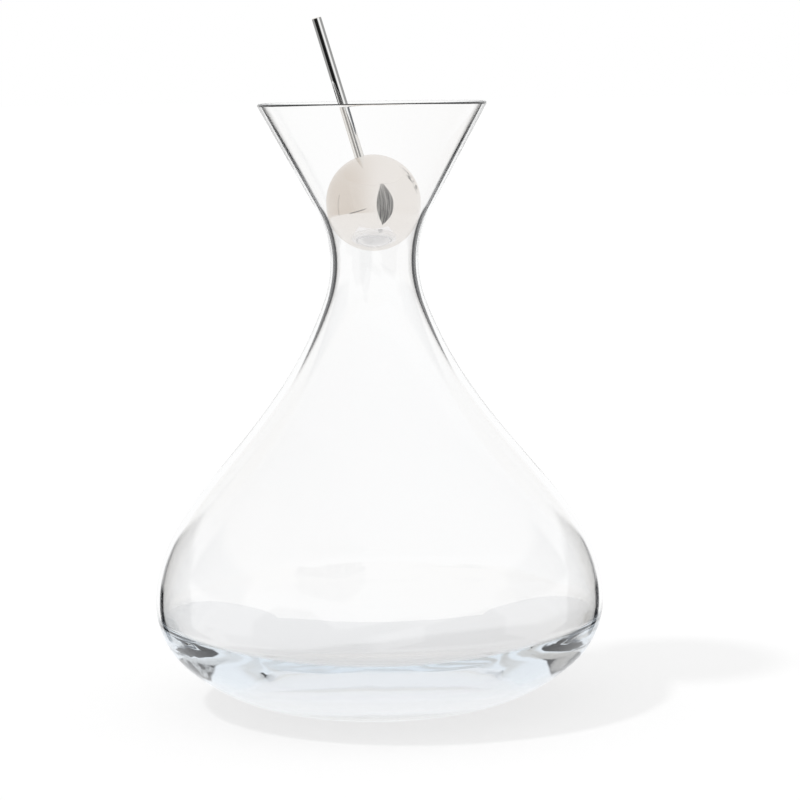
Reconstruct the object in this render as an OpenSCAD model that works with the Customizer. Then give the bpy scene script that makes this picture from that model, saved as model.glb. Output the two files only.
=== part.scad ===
// Blown-glass wine decanter with a flared mouth, and a steel ball stopper lifted by a thin rod.
// Millimetres, +Z up. The origin is the centre of the foot, on the table.

/* [Glass body] */
// Height of the glass, from the table to the top of the lip
glass_h = 254.3; // [240:0.1:270]
// Clear width of the mouth at the lip
mouth_d = 92.8; // [80:0.2:104]
// Clear width of the neck where it is narrowest
neck_d = 31.4; // [26:0.2:36]
// Height of the narrowest place of the neck
neck_z = 187.5; // [176:0.1:196]
// Radius of the curve through the neck, on the inside wall
neck_curve_r = 50; // [35:1:60]
// Slope from upright, in degrees, at which the neck curve becomes the shoulder
shoulder_angle = 20; // [16:1:30]
// How far the shoulder keeps the slope of the neck curve
neck_pull = 66; // [45:1:80]
// How far the shoulder keeps the upright direction of the belly
belly_pull = 42.5; // [20:0.5:50]
// Outer width of the belly at its widest
belly_d = 190; // [170:1:210]
// Height of the widest place of the belly
belly_z = 43.8; // [40:0.1:52]
// Outer radius of the round under the belly
belly_round_r = 33; // [26:1:37]
// Wall thickness from the neck to the belly
wall_t = 2.8; // [2:0.1:4]
// Thickness of the rounded lip
lip_t = 1.6; // [1.2:0.1:3]

/* [Glass base] */
// Width of the flat foot that stands on the table
foot_d = 68; // [56:1:80]
// Width of the shallow hollow under the foot
punt_d = 52; // [40:1:54]
// Depth of the shallow hollow under the foot
punt_h = 1.5; // [0.8:0.1:3]
// Angle below the widest place, in degrees, from which the wall thickens towards the base
heel_angle = 8; // [4:1:30]
// How far the inside keeps the direction of the wall where it starts to thicken
heel_pull = 12; // [4:0.5:18]
// Width of the lowest ring of the inside floor
valley_d = 80; // [60:1:110]
// Height of that lowest ring above the table
valley_z = 6; // [4:0.5:14]
// How far the inside runs level outside that ring
valley_pull = 8; // [2:0.5:14]
// Height of the mound in the middle of the inside floor
mound_z = 8; // [5:0.5:16]
// How far the floor runs level at the ring and at the top of the mound
mound_pull = 15; // [8:1:24]

/* [Stopper] */
// Diameter of the hollow steel ball
ball_d = 40; // [36:0.5:46]
// Thickness of the two pressed shells of the ball
shell_t = 1.2; // [0.8:0.1:2]
// Diameter of the rod
rod_d = 4; // [3.4:0.1:6]
// Length of rod that stands out of the ball
rod_out = 60.4; // [40:0.2:90]
// Lean of the rod from upright towards -X, in degrees
rod_lean = 16.3; // [0:0.1:25]
// Bevel round the free end of the rod
rod_bevel = 0.25; // [0.1:0.05:0.8]
// Diameter of the screwed end of the rod
spigot_d = 3; // [2:0.1:3.2]
// Length of the screwed end of the rod
spigot_l = 7; // [4:0.5:10]
// Diameter of the screw boss inside the ball
boss_d = 9; // [7:0.5:12]
// Metal left under the blind hole of the boss
boss_end_t = 2; // [1:0.5:4]

/* [Fits] */
// Gap all round between the ball and the neck that it sits in
seat_gap = 0.25; // [0.15:0.05:0.5]
// Gap round the rod where it passes through the upper shell
rod_gap = 0.05; // [0.02:0.01:0.2]
// Gap round the screwed end of the rod in its hole
thread_gap = 0.05; // [0.02:0.01:0.2]
// Space left below the screwed end of the rod
thread_end_gap = 0.3; // [0.1:0.1:1]
// Gap between the edge of the boss and the inside of the shell, where the weld runs
weld_gap = 0.05; // [0.02:0.01:0.2]

/* [Hidden] */
$fn = 96;

// Degrees of arc to each straight step of an outline, and steps along the shoulder and the base
arc_step = 4;
shoulder_steps = 30;
base_steps = 10;

function polar(r, a) = r * [cos(a), sin(a)];
function angle_of(v) = atan2(v[1], v[0]);
function left_of(v) = [-v[1], v[0]] / norm(v);
function arc(c, r, a0, a1) =
    let (n = max(1, ceil(abs(a1 - a0) / arc_step)))
    [for (i = [0:n]) c + polar(r, a0 + (a1 - a0) * i / n)];
function bezier(p, t) =
    pow(1 - t, 3) * p[0] + 3 * pow(1 - t, 2) * t * p[1] + 3 * (1 - t) * pow(t, 2) * p[2] + pow(t, 3) * p[3];
function bezier_way(p, t) =
    pow(1 - t, 2) * (p[1] - p[0]) + 2 * (1 - t) * t * (p[2] - p[1]) + pow(t, 2) * (p[3] - p[2]);
// Points along a curve, moved to its left by out
function bezier_points(p, n, out = 0) =
    [for (i = [0:n]) bezier(p, i / n) + out * left_of(bezier_way(p, i / n))];
function reversed(p) = [for (i = [len(p) - 1:-1:0]) p[i]];
function without_repeats(p) =
    [for (i = [0:len(p) - 1]) if (i == 0 || norm(p[i] - p[max(i - 1, 0)]) > 0.001) p[i]];
// Direction square to the line that touches two circles, whose distances from it differ by step
function touching_angle(from, to, step) = angle_of(to - from) + acos(step / norm(to - from));

// Mouth: a round lip, and straight walls that touch it and the neck curve
lip_r = lip_t / 2;
lip_c = [mouth_d / 2 + lip_r, glass_h - lip_r];
neck_c = [neck_d / 2 + neck_curve_r, neck_z];
neck_out_r = neck_curve_r - wall_t;
flare_in = touching_angle(lip_c, neck_c, neck_curve_r - lip_r);
flare_out = touching_angle(lip_c, neck_c, neck_out_r + lip_r);

// Shoulder: one curve on the inside wall, from the neck curve to the widest place
shoulder_top = neck_c + polar(neck_curve_r, 180 + shoulder_angle);
shoulder_end = [belly_d / 2 - wall_t, belly_z];
shoulder = [
    shoulder_top,
    shoulder_top + neck_pull * [sin(shoulder_angle), -cos(shoulder_angle)],
    shoulder_end + [0, belly_pull],
    shoulder_end
];

// Underside: the belly's round runs into a flatter arc that meets the table at the foot
belly_c = [belly_d / 2 - belly_round_r, belly_z];
foot_r = foot_d / 2;
under_r = (pow(belly_c[0] - foot_r, 2) + pow(belly_z, 2) - pow(belly_round_r, 2)) / (2 * (belly_z - belly_round_r));
under_c = [foot_r, under_r];
under_angle = angle_of(belly_c - under_c);

// Inside of the base: one curve from the wall down to the lowest ring, and one up to the mound
belly_in_r = belly_round_r - wall_t;
wall_end = belly_c + polar(belly_in_r, -heel_angle);
valley = [valley_d / 2, valley_z];
mound = [0, mound_z];
heel = [wall_end, wall_end + polar(heel_pull, -heel_angle - 90), valley + [valley_pull, 0], valley];
floor_rise = [valley, valley - [mound_pull, 0], mound + [mound_pull, 0], mound];

// Hollow under the foot, a shallow part of a sphere
punt_r = punt_d / 2;
punt_ball_r = (pow(punt_r, 2) + pow(punt_h, 2)) / (2 * punt_h);
punt_c = [0, punt_h - punt_ball_r];

glass_outline = without_repeats(concat(
    arc(punt_c, punt_ball_r, 90, angle_of([punt_r, 0] - punt_c)),
    arc(under_c, under_r, -90, under_angle),
    arc(belly_c, belly_round_r, under_angle, 0),
    reversed(bezier_points(shoulder, shoulder_steps, wall_t)),
    arc(neck_c, neck_out_r, 180 + shoulder_angle, 180 + flare_out),
    arc(lip_c, lip_r, flare_out, 180 + flare_in),
    arc(neck_c, neck_curve_r, 180 + flare_in, 180 + shoulder_angle),
    bezier_points(shoulder, shoulder_steps),
    arc(belly_c, belly_in_r, 0, -heel_angle),
    bezier_points(heel, base_steps),
    bezier_points(floor_rise, base_steps)
));

// Seat of the ball: on the neck curve, or on the straight flare above it if the ball is large
ball_r = ball_d / 2;
seat_r = ball_r + seat_gap;
on_curve = sqrt(pow(seat_r + neck_curve_r, 2) - pow(neck_c[0], 2));
flare_low = neck_c - polar(neck_curve_r, flare_in);
on_flare = flare_low[1] + (seat_r / cos(flare_in) - flare_low[0]) / tan(-flare_in);
ball_z = atan2(on_curve, neck_c[0]) < -flare_in ? neck_z + on_curve : on_flare;

// Inside the ball: the boss is welded under the hole of the rod, which bears on its top face
ball_in_r = ball_r - shell_t;
boss_top = sqrt(pow(ball_in_r - weld_gap, 2) - pow(boss_d / 2, 2));
boss_l = spigot_l + thread_end_gap + boss_end_t;
rod_end = ball_r + rod_out;

module at_ball() {
    translate([0, 0, ball_z]) rotate([0, -rod_lean, 0]) children();
}

module half_shell() {
    difference() {
        sphere(ball_r);
        sphere(ball_in_r);
        translate([0, 0, -ball_d]) cylinder(r = ball_d, h = ball_d);
    }
}

module decanter_body() {
    color([0.90, 0.94, 0.95, 0.45]) rotate_extrude() polygon(glass_outline);
}

module ball_lower_shell() {
    color([0.80, 0.79, 0.77]) at_ball() rotate([180, 0, 0]) half_shell();
}

module ball_upper_shell() {
    color([0.84, 0.83, 0.81]) at_ball() difference() {
        half_shell();
        cylinder(r = rod_d / 2 + rod_gap, h = ball_d);
    }
}

module rod_boss() {
    hole_l = spigot_l + thread_end_gap;
    color([0.62, 0.62, 0.63]) at_ball() translate([0, 0, boss_top]) difference() {
        translate([0, 0, -boss_l]) cylinder(d = boss_d, h = boss_l);
        translate([0, 0, -hole_l]) cylinder(r = spigot_d / 2 + thread_gap, h = hole_l + boss_l);
    }
}

module handle_rod() {
    straight_l = rod_end - boss_top - rod_bevel;
    color([0.72, 0.72, 0.72]) at_ball() translate([0, 0, boss_top]) {
        translate([0, 0, -spigot_l]) cylinder(d = spigot_d, h = spigot_l + straight_l);
        cylinder(d = rod_d, h = straight_l);
        translate([0, 0, straight_l]) cylinder(d1 = rod_d, d2 = rod_d - 2 * rod_bevel, h = rod_bevel);
    }
}

decanter_body();
ball_lower_shell();
ball_upper_shell();
rod_boss();
handle_rod();
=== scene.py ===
import math

import bpy
from mathutils import Matrix, Vector


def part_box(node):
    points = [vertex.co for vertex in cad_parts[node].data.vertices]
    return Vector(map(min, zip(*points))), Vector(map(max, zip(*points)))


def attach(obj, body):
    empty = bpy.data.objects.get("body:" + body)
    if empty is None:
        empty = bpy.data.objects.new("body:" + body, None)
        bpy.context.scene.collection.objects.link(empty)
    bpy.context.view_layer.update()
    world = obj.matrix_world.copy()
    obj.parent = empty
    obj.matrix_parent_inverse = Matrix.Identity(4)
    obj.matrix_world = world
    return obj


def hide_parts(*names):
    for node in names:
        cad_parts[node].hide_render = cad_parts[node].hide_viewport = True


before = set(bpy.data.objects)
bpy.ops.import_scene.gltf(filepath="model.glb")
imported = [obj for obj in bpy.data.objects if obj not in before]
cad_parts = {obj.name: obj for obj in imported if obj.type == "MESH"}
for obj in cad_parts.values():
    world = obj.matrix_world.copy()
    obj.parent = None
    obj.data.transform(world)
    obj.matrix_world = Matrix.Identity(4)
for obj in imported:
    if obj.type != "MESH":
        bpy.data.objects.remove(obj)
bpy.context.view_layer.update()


# Glass body
# One piece of clear glass, blown in a mould: foot, belly, shoulder, neck and flared mouth.
# The lip is fire-polished round, and the thick base keeps soft waves from the hot glass.
glass_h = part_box("decanter_body")[1][2]
mouth_d = 0.0928
neck_d = 0.0314
neck_z = 0.1875
neck_curve_r = 0.050
shoulder_angle = math.radians(20)
neck_pull = 0.066
belly_pull = 0.0425
belly_d = 0.190
belly_z = 0.0438
belly_round_r = 0.033
wall_t = 0.0028
lip_t = 0.0016
foot_d = 0.068
punt_d = 0.052
punt_h = 0.0015
heel_angle = math.radians(8)
heel_pull = 0.012
valley_d = 0.080
valley_z = 0.006
valley_pull = 0.008
mound_z = 0.008
mound_pull = 0.015
arc_step = math.radians(1.5)
lip_step = math.radians(12)
flare_steps = 16
shoulder_steps = 48
base_steps = 24
glass_turn_steps = 240
join_gap = 2e-6
wave_top = 0.036
wall_wave = 0.00001
base_wave = 0.00012
wave_scale = 26
wave_twist = 1.2
glass_bend = 1.5
tint_colour = (0.52, 0.66, 0.78, 1)
tint_density = 3
white = (1, 1, 1, 1)


def polar(r, angle):
    return Vector((r * math.cos(angle), r * math.sin(angle)))


def angle_of(v):
    return math.atan2(v.y, v.x)


def arc(centre, r, start, end, step=arc_step):
    count = max(1, math.ceil(abs(end - start) / step))
    return [centre + polar(r, start + (end - start) * i / count) for i in range(count + 1)]


def straight(start, end, count):
    """Points along a line, without its ends, crowded towards the end."""
    return [start + (end - start) * (1 - (1 - i / count) ** 2) for i in range(1, count)]


def touching_angle(start, end, step):
    """Direction square to the line that touches two circles, whose distances from it differ by step."""
    return angle_of(end - start) + math.acos(step / (end - start).length)


lip_r = lip_t / 2
lip_c = Vector((mouth_d / 2 + lip_r, glass_h - lip_r))
neck_c = Vector((neck_d / 2 + neck_curve_r, neck_z))
neck_out_r = neck_curve_r - wall_t
flare_in = touching_angle(lip_c, neck_c, neck_curve_r - lip_r)
flare_out = touching_angle(lip_c, neck_c, neck_out_r + lip_r)
flare_low = neck_c + polar(neck_curve_r, math.pi + flare_in)
flare_foot = neck_c + polar(neck_out_r, math.pi + flare_out)

shoulder_top = neck_c + polar(neck_curve_r, math.pi + shoulder_angle)
shoulder_end = Vector((belly_d / 2 - wall_t, belly_z))
shoulder = (
    shoulder_top,
    shoulder_top + neck_pull * Vector((math.sin(shoulder_angle), -math.cos(shoulder_angle))),
    shoulder_end + Vector((0, belly_pull)),
    shoulder_end,
)


def bezier(points, count, out=0):
    """Points along a curve, moved to its left by out."""
    a, b, c, d = points
    curve = []
    for i in range(count + 1):
        t = i / count
        place = (1 - t) ** 3 * a + 3 * (1 - t) ** 2 * t * b + 3 * (1 - t) * t ** 2 * c + t ** 3 * d
        way = (1 - t) ** 2 * (b - a) + 2 * (1 - t) * t * (c - b) + t ** 2 * (d - c)
        curve.append(place + out * Vector((-way.y, way.x)).normalized())
    return curve


belly_c = Vector((belly_d / 2 - belly_round_r, belly_z))
foot_r = foot_d / 2
under_r = ((belly_c.x - foot_r) ** 2 + belly_z ** 2 - belly_round_r ** 2) / (2 * (belly_z - belly_round_r))
under_c = Vector((foot_r, under_r))
under_angle = angle_of(belly_c - under_c)
belly_in_r = belly_round_r - wall_t
wall_end = belly_c + polar(belly_in_r, -heel_angle)
valley = Vector((valley_d / 2, valley_z))
mound = Vector((0, mound_z))
heel = (
    wall_end,
    wall_end + polar(heel_pull, -heel_angle - math.pi / 2),
    valley + Vector((valley_pull, 0)),
    valley,
)
rise_to_mound = (valley, valley - Vector((mound_pull, 0)), mound + Vector((mound_pull, 0)), mound)
punt_r = punt_d / 2
punt_ball_r = (punt_r ** 2 + punt_h ** 2) / (2 * punt_h)
punt_c = Vector((0, punt_h - punt_ball_r))
punt_step = math.radians(1)

glass_outline = (
    arc(punt_c, punt_ball_r, math.pi / 2, angle_of(Vector((punt_r, 0)) - punt_c), punt_step)
    + arc(under_c, under_r, -math.pi / 2, under_angle)
    + arc(belly_c, belly_round_r, under_angle, 0)
    + bezier(shoulder, shoulder_steps, wall_t)[::-1]
    + arc(neck_c, neck_out_r, math.pi + shoulder_angle, math.pi + flare_out)
    + straight(flare_foot, lip_c + polar(lip_r, flare_out), flare_steps)
    + arc(lip_c, lip_r, flare_out, math.pi + flare_in, lip_step)
    + straight(flare_low, lip_c + polar(lip_r, math.pi + flare_in), flare_steps)[::-1]
    + arc(neck_c, neck_curve_r, math.pi + flare_in, math.pi + shoulder_angle)
    + bezier(shoulder, shoulder_steps)
    + arc(belly_c, belly_in_r, 0, -heel_angle)
    + bezier(heel, base_steps)
    + bezier(rise_to_mound, base_steps)
)


def spun_piece(name, outline, centre, across, axis, steps):
    """Draw an outline of (distance from the axis, height) points by extruding a vertex, and spin it."""
    places = [centre + p[0] * across + p[1] * axis for p in outline]
    bpy.ops.object.select_all(action="DESELECT")
    bpy.ops.mesh.primitive_plane_add(size=wall_t, location=places[0])
    piece = bpy.context.object
    piece.name = name
    piece.data.name = name
    bpy.ops.object.transform_apply(location=True, rotation=True, scale=True)
    bpy.ops.object.mode_set(mode="EDIT")
    bpy.ops.mesh.merge(type="CENTER")
    for start, end in zip(places, places[1:]):
        if (end - start).length > join_gap / 2:
            bpy.ops.mesh.extrude_region_move(TRANSFORM_OT_translate={"value": end - start})
    bpy.ops.mesh.select_all(action="SELECT")
    bpy.ops.mesh.spin(steps=steps, angle=2 * math.pi, center=centre, axis=axis)
    bpy.ops.mesh.select_all(action="SELECT")
    bpy.ops.mesh.remove_doubles(threshold=join_gap)
    bpy.ops.mesh.normals_make_consistent(inside=False)
    bpy.ops.object.mode_set(mode="OBJECT")
    return piece


origin = Vector((0, 0, 0))
glass_body = spun_piece(
    "glass_body", glass_outline, origin, Vector((1, 0, 0)), Vector((0, 0, 1)), glass_turn_steps
)
bpy.ops.object.shade_smooth()


def add_node(tree, kind, inputs=None, **settings):
    """Add one node, with its settings, and set or link its inputs."""
    node = tree.nodes.new(kind)
    for key, value in settings.items():
        setattr(node, key, value)
    for key, value in (inputs or {}).items():
        if isinstance(value, bpy.types.NodeSocket):
            tree.links.new(value, node.inputs[key])
        else:
            node.inputs[key].default_value = value
    return node


def new_material(name, piece):
    """An empty node material in every slot of a piece, which gets one slot if it has none."""
    material = bpy.data.materials.new(name)
    material.use_nodes = True
    material.node_tree.nodes.clear()
    if not piece.material_slots:
        piece.data.materials.append(None)
    for slot in piece.material_slots:
        slot.material = material
    return material.node_tree


glass = new_material("clear_blown_glass", glass_body)
glass_place = add_node(glass, "ShaderNodeTexCoord").outputs["Object"]
glass_height = add_node(glass, "ShaderNodeSeparateXYZ", {"Vector": glass_place}).outputs["Z"]
low_glass = add_node(glass, "ShaderNodeMapRange", {
    "Value": glass_height,
    "From Min": wave_top,
    "From Max": wave_top / 2,
    "To Min": wall_wave,
    "To Max": base_wave,
}, interpolation_type="SMOOTHSTEP").outputs["Result"]
glass_waves = add_node(glass, "ShaderNodeTexNoise", {
    "Vector": glass_place,
    "Scale": wave_scale,
    "Detail": 1,
    "Distortion": wave_twist,
})
wave_height = add_node(glass, "ShaderNodeMath", {
    0: glass_waves.outputs["Fac"],
    1: low_glass,
}, operation="MULTIPLY")
glass_normal = add_node(glass, "ShaderNodeBump", {
    "Strength": 1,
    "Distance": 1,
    "Height": wave_height.outputs["Value"],
}).outputs["Normal"]
glass_surface = add_node(glass, "ShaderNodeBsdfPrincipled", {
    "Base Color": white,
    "Roughness": 0,
    "IOR": glass_bend,
    "Transmission Weight": 1,
    "Normal": glass_normal,
})
glass_tint = add_node(glass, "ShaderNodeVolumeAbsorption", {
    "Color": tint_colour,
    "Density": tint_density,
})
add_node(glass, "ShaderNodeOutputMaterial", {
    "Surface": glass_surface.outputs["BSDF"],
    "Volume": glass_tint.outputs["Volume"],
})
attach(glass_body, "decanter")
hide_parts("decanter_body")


# Ball of the stopper
# Two halves pressed from stainless sheet, welded round the middle, ground flush and mirror-polished.
# The upper half has the hole that the rod passes through.
ball_d = 0.040
shell_t = 0.0012
rod_d = 0.004
rod_gap = 0.00005
seat_gap = 0.00025
rod_lean = math.radians(16.3)
ball_step = math.radians(1.5)
ball_turn_steps = 160
shell_edge = math.radians(40)
marks_low = 0.35
marks_high = 0.65

ball_r = ball_d / 2
ball_in_r = ball_r - shell_t
ball_z = neck_z + math.sqrt((ball_r + seat_gap + neck_curve_r) ** 2 - neck_c.x ** 2)
ball_c = Vector((0, 0, ball_z))
rod_way = Vector((-math.sin(rod_lean), 0, math.cos(rod_lean)))
rod_across = Vector((math.cos(rod_lean), 0, math.sin(rod_lean)))
hole_r = rod_d / 2 + rod_gap
ball_hub = Vector((0, 0))

lower_outline = (
    arc(ball_hub, ball_r, -math.pi / 2, 0, ball_step)
    + arc(ball_hub, ball_in_r, 0, -math.pi / 2, ball_step)
)
upper_outline = (
    arc(ball_hub, ball_r, 0, math.acos(hole_r / ball_r), ball_step)
    + arc(ball_hub, ball_in_r, math.acos(hole_r / ball_in_r), 0, ball_step)
)
upper_outline.append(upper_outline[0])

ball_lower = spun_piece("ball_lower", lower_outline, ball_c, rod_across, rod_way, ball_turn_steps)
bpy.ops.object.shade_smooth_by_angle(angle=shell_edge)
ball_upper = spun_piece("ball_upper", upper_outline, ball_c, rod_across, rod_way, ball_turn_steps)
bpy.ops.object.shade_smooth_by_angle(angle=shell_edge)

polish_marks = bpy.data.node_groups.new("polish_marks", "ShaderNodeTree")
polish_marks.interface.new_socket("Grain", in_out="INPUT", socket_type="NodeSocketVector")
for marks_input in ("Depth", "Bright", "Dull"):
    polish_marks.interface.new_socket(marks_input, in_out="INPUT", socket_type="NodeSocketFloat")
polish_marks.interface.new_socket("Roughness", in_out="OUTPUT", socket_type="NodeSocketFloat")
polish_marks.interface.new_socket("Normal", in_out="OUTPUT", socket_type="NodeSocketVector")
marks_in = add_node(polish_marks, "NodeGroupInput").outputs
marks_upright = add_node(polish_marks, "ShaderNodeVectorRotate", {
    "Vector": add_node(polish_marks, "ShaderNodeTexCoord").outputs["Object"],
    "Center": ball_c,
    "Angle": rod_lean,
}, rotation_type="Y_AXIS").outputs["Vector"]
marks_place = add_node(polish_marks, "ShaderNodeVectorMath", {
    0: marks_upright,
    1: marks_in["Grain"],
}, operation="MULTIPLY").outputs["Vector"]
marks = add_node(polish_marks, "ShaderNodeTexNoise", {
    "Vector": marks_place,
    "Scale": 1,
    "Detail": 3,
}).outputs["Fac"]
marks_rough = add_node(polish_marks, "ShaderNodeMapRange", {
    "Value": marks,
    "From Min": marks_low,
    "From Max": marks_high,
    "To Min": marks_in["Bright"],
    "To Max": marks_in["Dull"],
}).outputs["Result"]
marks_depth = add_node(polish_marks, "ShaderNodeMath", {
    0: marks,
    1: marks_in["Depth"],
}, operation="MULTIPLY")
marks_normal = add_node(polish_marks, "ShaderNodeBump", {
    "Strength": 1,
    "Distance": 1,
    "Height": marks_depth.outputs["Value"],
}).outputs["Normal"]
add_node(polish_marks, "NodeGroupOutput", {"Roughness": marks_rough, "Normal": marks_normal})


def steel_material(name, piece, colour, grain, depth, bright, dull):
    """Bare steel with marks of some depth in metres, and a grain in marks to the metre.

    The grain is given twice across the rod's line and once along it, and bright and dull are roughnesses.
    """
    steel = new_material(name, piece)
    steel_marks = add_node(steel, "ShaderNodeGroup", node_tree=polish_marks)
    for key, value in (("Grain", grain), ("Depth", depth), ("Bright", bright), ("Dull", dull)):
        steel_marks.inputs[key].default_value = value
    steel_surface = add_node(steel, "ShaderNodeBsdfPrincipled", {
        "Base Color": colour,
        "Metallic": 1,
        "Roughness": steel_marks.outputs["Roughness"],
        "Normal": steel_marks.outputs["Normal"],
    })
    add_node(steel, "ShaderNodeOutputMaterial", {"Surface": steel_surface.outputs["BSDF"]})


steel_material(
    "mirror_steel",
    ball_lower,
    colour=(0.93, 0.905, 0.885, 1),
    grain=(70, 70, 70),
    depth=2e-7,
    bright=0.01,
    dull=0.03,
)
ball_upper.data.materials.append(ball_lower.data.materials[0])
for shell, node in ((ball_lower, "ball_lower_shell"), (ball_upper, "ball_upper_shell")):
    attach(shell, "stopper")
    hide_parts(node)


# Handle rod
# Straight drawn stainless rod, polished along its length, bevelled at the free end.
# A thinner screwed end goes into the boss inside the ball, and the shoulder bears on the boss.
rod_out = 0.0604
rod_bevel = 0.00025
spigot_d = 0.003
spigot_l = 0.007
boss_d = 0.009
weld_gap = 0.00005
rod_turn_steps = 64
rod_edge = math.radians(30)

boss_top = math.sqrt((ball_in_r - weld_gap) ** 2 - (boss_d / 2) ** 2)
rod_end = ball_r + rod_out
rod_outline = (
    Vector((0, boss_top - spigot_l)),
    Vector((spigot_d / 2, boss_top - spigot_l)),
    Vector((spigot_d / 2, boss_top)),
    Vector((rod_d / 2, boss_top)),
    Vector((rod_d / 2, rod_end - rod_bevel)),
    Vector((rod_d / 2 - rod_bevel, rod_end)),
    Vector((0, rod_end)),
)
rod = spun_piece("rod", rod_outline, ball_c, rod_across, rod_way, rod_turn_steps)
bpy.ops.object.shade_smooth_by_angle(angle=rod_edge)
steel_material(
    "drawn_steel",
    rod,
    colour=(0.88, 0.88, 0.87, 1),
    grain=(3000, 3000, 40),
    depth=3e-7,
    bright=0.03,
    dull=0.07,
)
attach(rod, "stopper")
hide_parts("handle_rod")


# Boss inside the ball
# A turned steel boss, welded under the hole of the upper shell, that the rod screws into.
# Its CAD shape stays, with the fine rings that the turning tool leaves.
boss = bpy.data.objects["rod_boss"]
steel_material(
    "turned_steel",
    boss,
    colour=(0.58, 0.58, 0.58, 1),
    grain=(0, 0, 5000),
    depth=1e-6,
    bright=0.22,
    dull=0.38,
)


# Table and studio
# A pale table in a plain white room, with a soft lamp from the front left.
# Through the glass, the far edge of the table shows against the white behind it.
table_half = 0.131
table_drop = 0.0002
table_size = 40
table_colour = (0.30, 0.30, 0.30, 1)
table_lift = (0.72, 0.72, 0.72, 1)
table_tone = (0.66, 0.67, 0.685, 1)
through_tone = (0.60, 0.605, 0.615, 1)
# Painted light: the table glows brighter where it is seen after a turn inside the glass, standing in for
# light that reaches the table through the glass base
painted_heel_light = (0.80, 0.81, 0.825, 1)
one_bounce = 0.5
two_walls = 3.5

bpy.ops.object.select_all(action="DESELECT")
bpy.ops.mesh.primitive_plane_add(size=table_size, location=(0, 0, -table_drop))
table = bpy.context.object
table.name = "table"
bpy.ops.object.transform_apply(location=True, rotation=True, scale=True)
table_top = new_material("pale_table", table)
table_path = add_node(table_top, "ShaderNodeLightPath")
table_place = add_node(table_top, "ShaderNodeTexCoord")
table_xyz = add_node(table_top, "ShaderNodeSeparateXYZ", {"Vector": table_place.outputs["Object"]})


def maths(tree, operation, *values):
    """One Math node, given as its output."""
    return add_node(tree, "ShaderNodeMath", dict(enumerate(values)), operation=operation).outputs["Value"]


def mixed_colour(tree, mask, low, high):
    """One colour where the mask is 0 and another where it is 1."""
    node = add_node(tree, "ShaderNodeMix", {0: mask, 6: low, 7: high}, data_type="RGBA")
    return node.outputs[2]


table_x = maths(table_top, "ABSOLUTE", table_xyz.outputs["X"])
table_y = maths(table_top, "ABSOLUTE", table_xyz.outputs["Y"])
off_table = maths(table_top, "GREATER_THAN", maths(table_top, "MAXIMUM", table_x, table_y), table_half)
camera_sees = table_path.outputs["Is Camera Ray"]
glass_sees = table_path.outputs["Is Transmission Ray"]
metal_sees = table_path.outputs["Is Glossy Ray"]
mirrored = maths(table_top, "GREATER_THAN", table_path.outputs["Glossy Depth"], one_bounce)
by_steel = maths(table_top, "GREATER_THAN", table_path.outputs["Transmission Depth"], two_walls)
# The glow that glass and steel see carries that painted light on routes that turn inside the glass
mirrored_tone = mixed_colour(table_top, by_steel, painted_heel_light, table_tone)
seen_tone = mixed_colour(table_top, mirrored, through_tone, mirrored_tone)
glow_colour = mixed_colour(table_top, camera_sees, seen_tone, table_lift)
part_sees = maths(table_top, "MAXIMUM", glass_sees, metal_sees)
table_glow = add_node(table_top, "ShaderNodeEmission", {
    "Color": glow_colour,
    "Strength": maths(table_top, "MAXIMUM", camera_sees, part_sees),
})
table_matt = add_node(table_top, "ShaderNodeBsdfDiffuse", {"Color": table_colour})
table_seen = add_node(table_top, "ShaderNodeAddShader", {
    0: table_matt.outputs["BSDF"],
    1: table_glow.outputs["Emission"],
})
table_mix = add_node(table_top, "ShaderNodeMixShader", {
    0: maths(table_top, "MULTIPLY", off_table, part_sees),
    1: table_seen.outputs["Shader"],
    2: add_node(table_top, "ShaderNodeBsdfTransparent").outputs["BSDF"],
})
add_node(table_top, "ShaderNodeOutputMaterial", {"Surface": table_mix.outputs["Shader"]})

studio = bpy.data.worlds.new("studio")
bpy.context.scene.world = studio
studio.use_nodes = True
room = studio.node_tree
room.nodes.clear()
room_path = add_node(room, "ShaderNodeLightPath")
room_place = add_node(room, "ShaderNodeTexCoord")
room_way = room_place.outputs["Generated"]
room_xyz = add_node(room, "ShaderNodeSeparateXYZ", {"Vector": room_way})
room_x = room_xyz.outputs["X"]
room_y = room_xyz.outputs["Y"]
rise = maths(room, "ARCSINE", room_xyz.outputs["Z"])
front = maths(room, "MULTIPLY", room_y, -1)
front_turn = maths(room, "ARCTAN2", room_x, front)
back_turn = maths(room, "ABSOLUTE", front_turn)


def ramp(value, low, high):
    """0 up to low and 1 from high on, in the room's nodes, smooth between."""
    node = add_node(room, "ShaderNodeMapRange", {
        "Value": value,
        "From Min": low,
        "From Max": high,
    }, interpolation_type="SMOOTHSTEP")
    return node.outputs["Result"]


def window(value, low, high, soft):
    """1 between low and high, in the room's nodes, with soft edges."""
    past_low = ramp(value, low - soft, low + soft)
    before_high = ramp(value, high + soft, high - soft)
    return maths(room, "MULTIPLY", past_low, before_high)


def angle_window(angle, low, high, soft):
    """1 between two angles in degrees, with soft edges."""
    return window(angle, math.radians(low), math.radians(high), math.radians(soft))


def patch(across, upright):
    """1 where two windows of the room meet."""
    return maths(room, "MULTIPLY", across, upright)


# The room as steel mirrors it: warm and pale, darker to the left, with a lit table below
left_tone = (0.70, 0.645, 0.585, 1)
right_tone = (0.87, 0.85, 0.825, 1)
lit_tone = (0.89, 0.875, 0.855, 1)
post_tone = (0.25, 0.22, 0.19, 1)
post_share = 0.5
wall_tone = mixed_colour(room, ramp(room_x, -0.95, 0.3), left_tone, right_tone)
above_table = ramp(rise, math.radians(-19), math.radians(-16))
room_tone = mixed_colour(room, above_table, lit_tone, wall_tone)
post = patch(angle_window(front_turn, -92, -89, 0.5), angle_window(rise, -19, 12, 1))
room_tone = mixed_colour(room, maths(room, "MULTIPLY", post, post_share), room_tone, post_tone)

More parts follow.
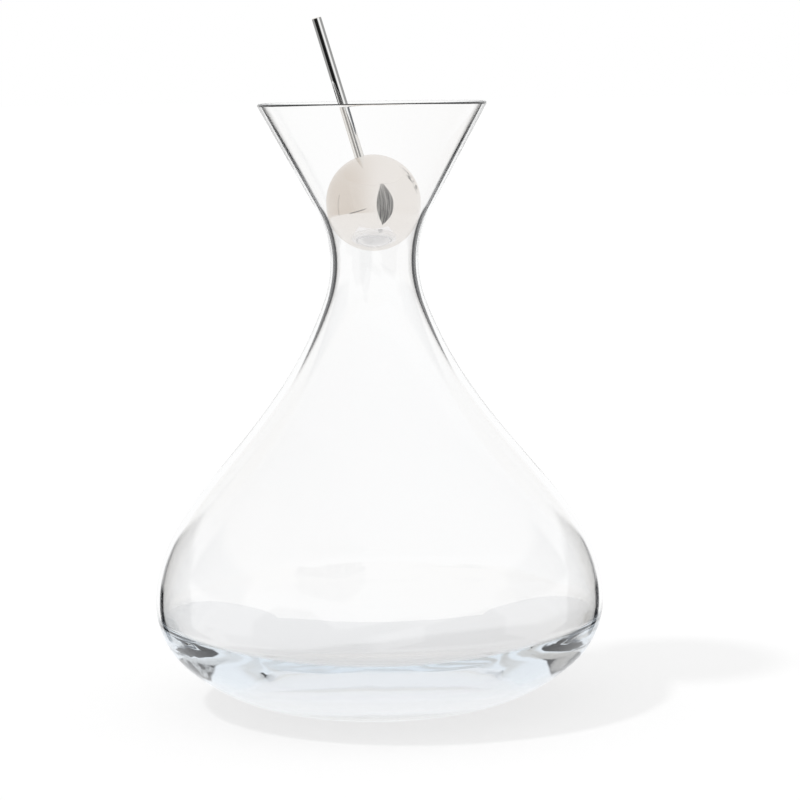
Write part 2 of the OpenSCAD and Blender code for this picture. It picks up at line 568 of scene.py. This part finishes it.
door_turn = math.radians(28)
door_half = math.radians(20)
door_top = math.radians(50)
fold_dark = (0.07, 0.07, 0.07, 1)
fold_pale = (0.36, 0.36, 0.35, 1)
folds_in_turn = 16
door_side = maths(room, "ABSOLUTE", maths(room, "SUBTRACT", front_turn, door_turn))
door_rise = maths(room, "POWER", maths(room, "DIVIDE", rise, door_top), 2)
door_edge = maths(room, "ADD", maths(room, "DIVIDE", door_side, door_half), door_rise)
door = ramp(door_edge, 1.05, 0.95)
door_place = add_node(room, "ShaderNodeCombineXYZ", {
    "X": maths(room, "MULTIPLY", front_turn, folds_in_turn),
    "Y": rise,
})
door_folds = add_node(room, "ShaderNodeTexNoise", {
    "Vector": door_place.outputs["Vector"],
    "Scale": 1,
    "Detail": 3,
}).outputs["Fac"]
door_tone = mixed_colour(room, ramp(door_folds, 0.38, 0.68), fold_dark, fold_pale)
mirror_view = mixed_colour(room, door, room_tone, door_tone)

spot_tone = (0.12, 0.12, 0.12, 1)
spot_scale = 14
far_things = add_node(room, "ShaderNodeTexNoise", {
    "Vector": room_way,
    "Scale": spot_scale,
    "Detail": 1,
}).outputs["Fac"]
far_wall = patch(angle_window(front_turn, 130, 152, 3), angle_window(rise, 2, 24, 2))
far_spots = maths(room, "MULTIPLY", far_wall, ramp(far_things, 0.50, 0.56))
mirror_view = mixed_colour(room, far_spots, mirror_view, spot_tone)

# Dark strips low on the walls between the four sides, which draw the dark lines of the glass's edges
strip_tone = (0.01, 0.011, 0.013, 1)
up_lean = 0.9
down_lean = 1.8
lean_below = math.radians(-12)
off_side = maths(room, "PINGPONG", front_turn, math.radians(45))
strip_lean = maths(room, "MULTIPLY", maths(room, "MAXIMUM", rise, 0), up_lean)
low_down = maths(room, "MAXIMUM", maths(room, "SUBTRACT", lean_below, rise), 0)
low_lean = maths(room, "MULTIPLY", low_down, down_lean)
strip_turn = maths(room, "SUBTRACT", maths(room, "ADD", off_side, low_lean), strip_lean)
between_sides = ramp(strip_turn, math.radians(21), math.radians(24.5))
strip = patch(between_sides, angle_window(rise, -21.5, 14, 2.5))
strip_view = mixed_colour(room, strip, white, strip_tone)
above_strips = ramp(rise, math.radians(15), math.radians(30))
edge_view = mixed_colour(room, above_strips, strip_view, room_tone)

# The room as the rod mirrors it: dark ahead and to the left, bright to the right, grey at the sides
rod_grey = (0.36, 0.36, 0.36, 1)
rod_dark = (0.012, 0.012, 0.012, 1)
along_rod = add_node(room, "ShaderNodeVectorMath", {
    0: room_way,
    1: rod_way,
}, operation="DOT_PRODUCT").outputs["Value"]
across_rod = add_node(room, "ShaderNodeVectorMath", {
    0: room_way,
    1: rod_across,
}, operation="DOT_PRODUCT").outputs["Value"]
rod_turn = maths(room, "ARCTAN2", across_rod, front)
rod_view = mixed_colour(room, angle_window(rod_turn, -70, 10, 8), rod_grey, rod_dark)
rod_view = mixed_colour(room, angle_window(rod_turn, 22, 66, 8), rod_view, white)
rod_ring = window(along_rod, -0.08, 0.08, 0.03)

# Bare steel also mirrors the strips, and the outside of the glass a white room with one dark patch
steel_strip = (0.06, 0.06, 0.06, 1)
steel_view = mixed_colour(room, strip, mirror_view, steel_strip)
steel_view = mixed_colour(room, rod_ring, steel_view, rod_view)
grazing = patch(angle_window(back_turn, 145, 154, 1.5), angle_window(rise, -20, -5.5, 1))
glass_view = mixed_colour(room, grazing, white, strip_tone)

# Dark cards in front and at the sides, for the rod behind the flare and the thick heel of the base
left_card_tone = (0.03, 0.03, 0.03, 1)
heel_card_tone = (0.075, 0.088, 0.108, 1)
rod_ahead = maths(room, "MULTIPLY", rod_ring, ramp(front, 0.0, 0.1))
edge_view = mixed_colour(room, rod_ahead, edge_view, rod_view)
left_card = patch(angle_window(front_turn, -66, -4, 6), angle_window(rise, -28, -3, 3))
edge_view = mixed_colour(room, left_card, edge_view, left_card_tone)
heel_card = patch(angle_window(back_turn, 76, 122, 3), angle_window(rise, 8, 28, 3))
edge_view = mixed_colour(room, heel_card, edge_view, heel_card_tone)
low_shade_tone = (0.05, 0.05, 0.05, 1)
low_shade_share = 0.75
low_shade = patch(window(along_rod, -0.080, -0.024, 0.006), angle_window(rod_turn, -60, -18, 5))
low_shade = maths(room, "MULTIPLY", low_shade, low_shade_share)
mirror_view = mixed_colour(room, low_shade, mirror_view, low_shade_tone)

# Each ray meets the room that its path calls for, and what lights matt surfaces is one plain level
room_level = (0.70, 0.70, 0.70, 1)
turned = maths(room, "GREATER_THAN", room_path.outputs["Glossy Depth"], one_bounce)
through_wall = maths(room, "GREATER_THAN", room_path.outputs["Transmission Depth"], one_bounce)
through_two = maths(room, "GREATER_THAN", room_path.outputs["Transmission Depth"], two_walls)
lighting = maths(room, "GREATER_THAN", room_path.outputs["Diffuse Depth"], one_bounce)
bare_view = mixed_colour(room, room_path.outputs["Is Singular Ray"], steel_view, glass_view)
reflected = mixed_colour(room, through_wall, bare_view, edge_view)
reflected = mixed_colour(room, through_two, reflected, mirror_view)
seen = mixed_colour(room, turned, white, reflected)
room_colour = mixed_colour(room, lighting, seen, room_level)
room_back = add_node(room, "ShaderNodeBackground", {"Color": room_colour})
add_node(room, "ShaderNodeOutputWorld", {"Surface": room_back.outputs["Background"]})

lamp_share = 0.30
lamp_turn = math.radians(-62)
lamp_rise = math.radians(59)
lamp_soft = math.radians(5)
lamp_way = Vector((
    math.sin(lamp_turn) * math.cos(lamp_rise),
    -math.cos(lamp_turn) * math.cos(lamp_rise),
    math.sin(lamp_rise),
))
bpy.ops.object.light_add(type="SUN", location=lamp_way)
lamp = bpy.context.object
lamp.name = "lamp"
lamp.rotation_euler = lamp_way.to_track_quat("Z", "Y").to_euler()
lamp.data.angle = lamp_soft
lamp.data.energy = lamp_share * math.pi / math.sin(lamp_rise)
lamp.visible_glossy = False
lamp.visible_transmission = False


# Camera
# A long lens a little above the mouth, turned slightly, as the photograph was taken.
# Light may bounce often enough to find its way out of the thick base.
camera_place = Vector((0.0099, -1.180, 0.2695))
camera_down = math.radians(6.80)
camera_roll = math.radians(0.86)
lens_mm = 126.4
sensor_mm = 36
bounces = 32
glass_bounces = 24

bpy.ops.object.camera_add(location=camera_place)
camera = bpy.context.object
camera.data.lens = lens_mm
camera.data.sensor_width = sensor_mm
tilt = Matrix.Rotation(math.pi / 2 - camera_down, 3, "X") @ Matrix.Rotation(-camera_roll, 3, "Z")
camera.rotation_euler = tilt.to_euler()
bpy.context.scene.camera = camera
bpy.context.scene.view_settings.view_transform = "Standard"
bpy.context.scene.cycles.max_bounces = bounces
bpy.context.scene.cycles.glossy_bounces = glass_bounces
bpy.context.scene.cycles.transmission_bounces = glass_bounces
